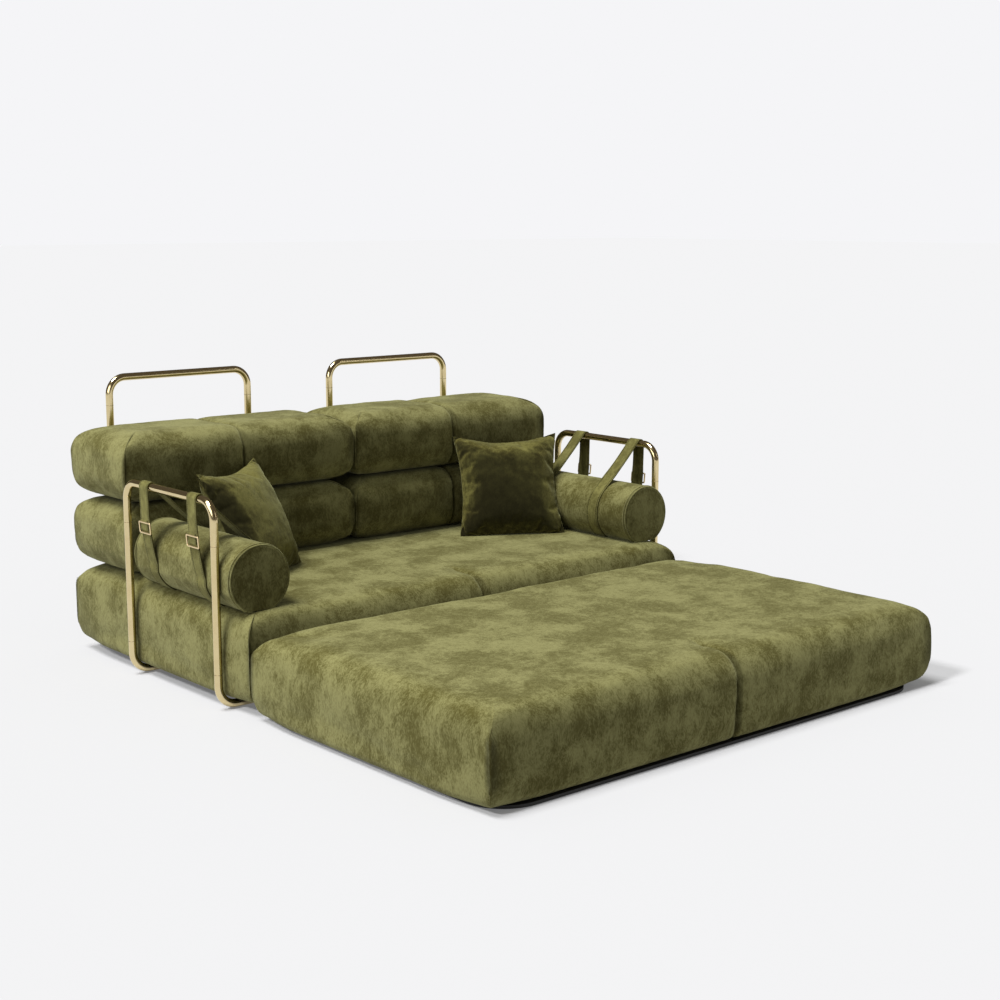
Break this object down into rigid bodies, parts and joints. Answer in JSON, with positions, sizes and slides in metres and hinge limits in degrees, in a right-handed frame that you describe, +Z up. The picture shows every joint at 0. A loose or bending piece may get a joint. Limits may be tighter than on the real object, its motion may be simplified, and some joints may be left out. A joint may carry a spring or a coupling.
{
  "type": "sofa bed",
  "caption": "Velvet sofa bed with stacked back cushions, bolster arms strapped to brass tube frames, and a roll-up front section that makes the bed.",
  "frame": {"origin": "on the floor at the middle of the whole sofa bed, front section rolled up", "axes": "+X to the right seen from the front, +Y towards the back, +Z up"},
  "size_m": [2.0846, 2.463, 1.023],
  "materials": {
    "velvet": "olive velvet with a soft mottled nap",
    "strap_velvet": "olive velvet over webbing",
    "brass_tube": "polished pale brass",
    "buckle_brass": "satin brass",
    "black_board": "black painted board",
    "pine": "plain sawn softwood",
    "zinc": "zinc plated",
    "black_plastic": "moulded black plastic",
    "roller_rubber": "dark grey rubber"
  },
  "bodies": {
    "base": {"base_cover": "velvet", "base_board": "black_board", "base_timber_frame": "pine", "base_slats": "pine", "left_arm_bar": "brass_tube", "right_arm_bar": "brass_tube", "left_arm_legs": "brass_tube", "right_arm_legs": "brass_tube", "left_arm_feet": "brass_tube", "right_arm_feet": "brass_tube", "front_cross_rail": "brass_tube", "rear_cross_rail": "brass_tube", "left_back_bar": "brass_tube", "right_back_bar": "brass_tube", "left_back_legs": "brass_tube", "right_back_legs": "brass_tube", "left_back_feet": "brass_tube", "right_back_feet": "brass_tube", "tube_sleeves": "zinc", "foot_plugs": "black_plastic", "floor_glides": "black_plastic", "saddle_clips": "zinc", "clip_screws": "zinc", "left_front_strap": "strap_velvet", "left_rear_strap": "strap_velvet", "right_front_strap": "strap_velvet", "right_rear_strap": "strap_velvet", "left_strap_tabs": "strap_velvet", "right_strap_tabs": "strap_velvet", "left_buckles": "buckle_brass", "right_buckles": "buckle_brass"},
    "front_section": {"section_cover": "velvet", "section_plinth": "black_board", "section_timber_frame": "pine", "section_slats": "pine", "roller_brackets": "zinc", "bracket_screws": "zinc", "roller_axles": "zinc"},
    "roller_fl": {"front_left_roller": "roller_rubber"},
    "roller_fr": {"front_right_roller": "roller_rubber"},
    "roller_rl": {"rear_left_roller": "roller_rubber"},
    "roller_rr": {"rear_right_roller": "roller_rubber"},
    "bolster_l": {"left_bolster": "velvet", "left_bolster_piping": "strap_velvet"},
    "bolster_r": {"right_bolster": "velvet", "right_bolster_piping": "strap_velvet"},
    "lower_back_l": {"left_lower_back_cushion": "velvet"},
    "lower_back_r": {"right_lower_back_cushion": "velvet"},
    "upper_back_l": {"left_upper_back_cushion": "velvet"},
    "upper_back_r": {"right_upper_back_cushion": "velvet"},
    "scatter_l": {"left_scatter_cushion": "velvet"},
    "scatter_r": {"right_scatter_cushion": "velvet"}
  },
  "joints": [
    {"name": "front_section_roll", "type": "slide", "parent": "base", "child": "front_section", "axis": [0, -1, 0], "range_m": [0, 0.6]},
    {"name": "roller_fl_spin", "type": "hinge", "parent": "front_section", "child": "roller_fl", "pos_m": [-0.772, -0.9915, 0.018], "axis": [1, 0, 0], "range_deg": [0, 1911]},
    {"name": "roller_fr_spin", "type": "hinge", "parent": "front_section", "child": "roller_fr", "pos_m": [0.772, -0.9915, 0.018], "axis": [1, 0, 0], "range_deg": [0, 1911]},
    {"name": "roller_rl_spin", "type": "hinge", "parent": "front_section", "child": "roller_rl", "pos_m": [-0.772, -0.2775, 0.018], "axis": [1, 0, 0], "range_deg": [0, 1911]},
    {"name": "roller_rr_spin", "type": "hinge", "parent": "front_section", "child": "roller_rr", "pos_m": [0.772, -0.2775, 0.018], "axis": [1, 0, 0], "range_deg": [0, 1911]},
    {"name": "bolster_l_pull", "type": "slide", "parent": "base", "child": "bolster_l", "axis": [0, -1, 0], "range_m": [0, 0.5]},
    {"name": "bolster_r_pull", "type": "slide", "parent": "base", "child": "bolster_r", "axis": [0, -1, 0], "range_m": [0, 0.5]},
    {"name": "lower_back_l_lift", "type": "slide", "parent": "base", "child": "lower_back_l", "axis": [0, 0, 1], "range_m": [0, 0.6]},
    {"name": "upper_back_l_lift", "type": "slide", "parent": "lower_back_l", "child": "upper_back_l", "axis": [0, 0, 1], "range_m": [0, 0.6]},
    {"name": "lower_back_r_lift", "type": "slide", "parent": "base", "child": "lower_back_r", "axis": [0, 0, 1], "range_m": [0, 0.6]},
    {"name": "upper_back_r_lift", "type": "slide", "parent": "lower_back_r", "child": "upper_back_r", "axis": [0, 0, 1], "range_m": [0, 0.6]},
    {"name": "scatter_l_lift", "type": "slide", "parent": "base", "child": "scatter_l", "axis": [0, 0, 1], "range_m": [0, 0.6]},
    {"name": "scatter_r_lift", "type": "slide", "parent": "base", "child": "scatter_r", "axis": [0, 0, 1], "range_m": [0, 0.6]}
  ],
  "couplings": [
    {"joint": "roller_fl_spin", "follows": "front_section_roll", "rad_per_m": 55.556},
    {"joint": "roller_fr_spin", "follows": "front_section_roll", "rad_per_m": 55.556},
    {"joint": "roller_rl_spin", "follows": "front_section_roll", "rad_per_m": 55.556},
    {"joint": "roller_rr_spin", "follows": "front_section_roll", "rad_per_m": 55.556}
  ]
}
